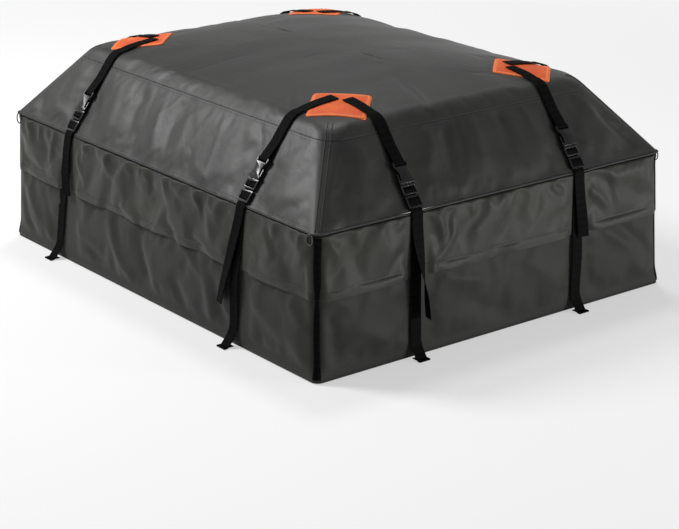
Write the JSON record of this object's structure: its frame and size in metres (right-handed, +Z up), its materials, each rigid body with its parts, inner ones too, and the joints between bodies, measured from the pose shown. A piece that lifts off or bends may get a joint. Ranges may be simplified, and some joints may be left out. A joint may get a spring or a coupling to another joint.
{
  "type": "roof cargo bag",
  "caption": "Soft rectangular roof cargo bag with a hipped top, a storm flap over its zip, corner patches and buckled webbing straps.",
  "frame": {"origin": "middle of the flat base", "axes": "+Z up, +Y along the long sides towards the rear, +X to the right seen from the front"},
  "size_m": [0.9476, 1.1436, 0.4527],
  "materials": {
    "coated_fabric": "black coated polyester, soft sheen",
    "flap_fabric": "black coated polyester, soft sheen",
    "orange_fabric": "bright orange coated fabric, pale stitched edge",
    "webbing": "black polypropylene webbing, matt weave",
    "zip_tape": "black woven tape with a coil chain",
    "buckle_plastic": "black moulded acetal, glossy",
    "zip_metal": "dark nickel plate"
  },
  "bodies": {
    "bag": {"bag_body": "coated_fabric", "storm_flap": "flap_fabric", "zip_chain": "zip_tape", "patch_front_left": "orange_fabric", "patch_rear_left": "orange_fabric", "patch_front_right": "orange_fabric", "patch_rear_right": "orange_fabric", "upper_strap_left_rear": "webbing", "lower_strap_left_rear": "webbing", "socket_left_rear": "buckle_plastic", "upper_strap_left_front": "webbing", "lower_strap_left_front": "webbing", "socket_left_front": "buckle_plastic", "upper_strap_front_left": "webbing", "lower_strap_front_left": "webbing", "socket_front_left": "buckle_plastic", "upper_strap_front_right": "webbing", "lower_strap_front_right": "webbing", "socket_front_right": "buckle_plastic", "upper_strap_right_front": "webbing", "lower_strap_right_front": "webbing", "socket_right_front": "buckle_plastic", "upper_strap_right_rear": "webbing", "lower_strap_right_rear": "webbing", "socket_right_rear": "buckle_plastic", "upper_strap_rear_right": "webbing", "lower_strap_rear_right": "webbing", "socket_rear_right": "buckle_plastic", "upper_strap_rear_left": "webbing", "lower_strap_rear_left": "webbing", "socket_rear_left": "buckle_plastic"},
    "buckle_plug_left_rear": {"plug_left_rear": "buckle_plastic", "strap_slider_left_rear": "buckle_plastic"},
    "buckle_plug_left_front": {"plug_left_front": "buckle_plastic", "strap_slider_left_front": "buckle_plastic"},
    "buckle_plug_front_left": {"plug_front_left": "buckle_plastic", "strap_slider_front_left": "buckle_plastic"},
    "buckle_plug_front_right": {"plug_front_right": "buckle_plastic", "strap_slider_front_right": "buckle_plastic"},
    "buckle_plug_right_front": {"plug_right_front": "buckle_plastic", "strap_slider_right_front": "buckle_plastic"},
    "buckle_plug_right_rear": {"plug_right_rear": "buckle_plastic", "strap_slider_right_rear": "buckle_plastic"},
    "buckle_plug_rear_right": {"plug_rear_right": "buckle_plastic", "strap_slider_rear_right": "buckle_plastic"},
    "buckle_plug_rear_left": {"plug_rear_left": "buckle_plastic", "strap_slider_rear_left": "buckle_plastic"},
    "zip_slider_left": {"zip_slider_left": "zip_metal"},
    "zip_slider_right": {"zip_slider_right": "zip_metal"}
  },
  "joints": [
    {"name": "release_left_rear", "type": "slide", "parent": "bag", "child": "buckle_plug_left_rear", "axis": [-0.6017, 0, -0.7987], "range_m": [0, 0.03], "deforming": ["lower_strap_left_rear"]},
    {"name": "release_left_front", "type": "slide", "parent": "bag", "child": "buckle_plug_left_front", "axis": [-0.6017, 0, -0.7987], "range_m": [0, 0.03], "deforming": ["lower_strap_left_front"]},
    {"name": "release_front_left", "type": "slide", "parent": "bag", "child": "buckle_plug_front_left", "axis": [0, -0.6017, -0.7987], "range_m": [0, 0.03], "deforming": ["lower_strap_front_left"]},
    {"name": "release_front_right", "type": "slide", "parent": "bag", "child": "buckle_plug_front_right", "axis": [0, -0.6017, -0.7987], "range_m": [0, 0.03], "deforming": ["lower_strap_front_right"]},
    {"name": "release_right_front", "type": "slide", "parent": "bag", "child": "buckle_plug_right_front", "axis": [0.6017, 0, -0.7987], "range_m": [0, 0.03], "deforming": ["lower_strap_right_front"]},
    {"name": "release_right_rear", "type": "slide", "parent": "bag", "child": "buckle_plug_right_rear", "axis": [0.6017, 0, -0.7987], "range_m": [0, 0.03], "deforming": ["lower_strap_right_rear"]},
    {"name": "release_rear_right", "type": "slide", "parent": "bag", "child": "buckle_plug_rear_right", "axis": [0, 0.6017, -0.7987], "range_m": [0, 0.03], "deforming": ["lower_strap_rear_right"]},
    {"name": "release_rear_left", "type": "slide", "parent": "bag", "child": "buckle_plug_rear_left", "axis": [0, 0.6017, -0.7987], "range_m": [0, 0.03], "deforming": ["lower_strap_rear_left"]},
    {"name": "zip_run_left", "type": "slide", "parent": "bag", "child": "zip_slider_left", "axis": [-1, 0, 0], "range_m": [0, 0.36]},
    {"name": "zip_run_right", "type": "slide", "parent": "bag", "child": "zip_slider_right", "axis": [1, 0, 0], "range_m": [0, 0.36]}
  ]
}
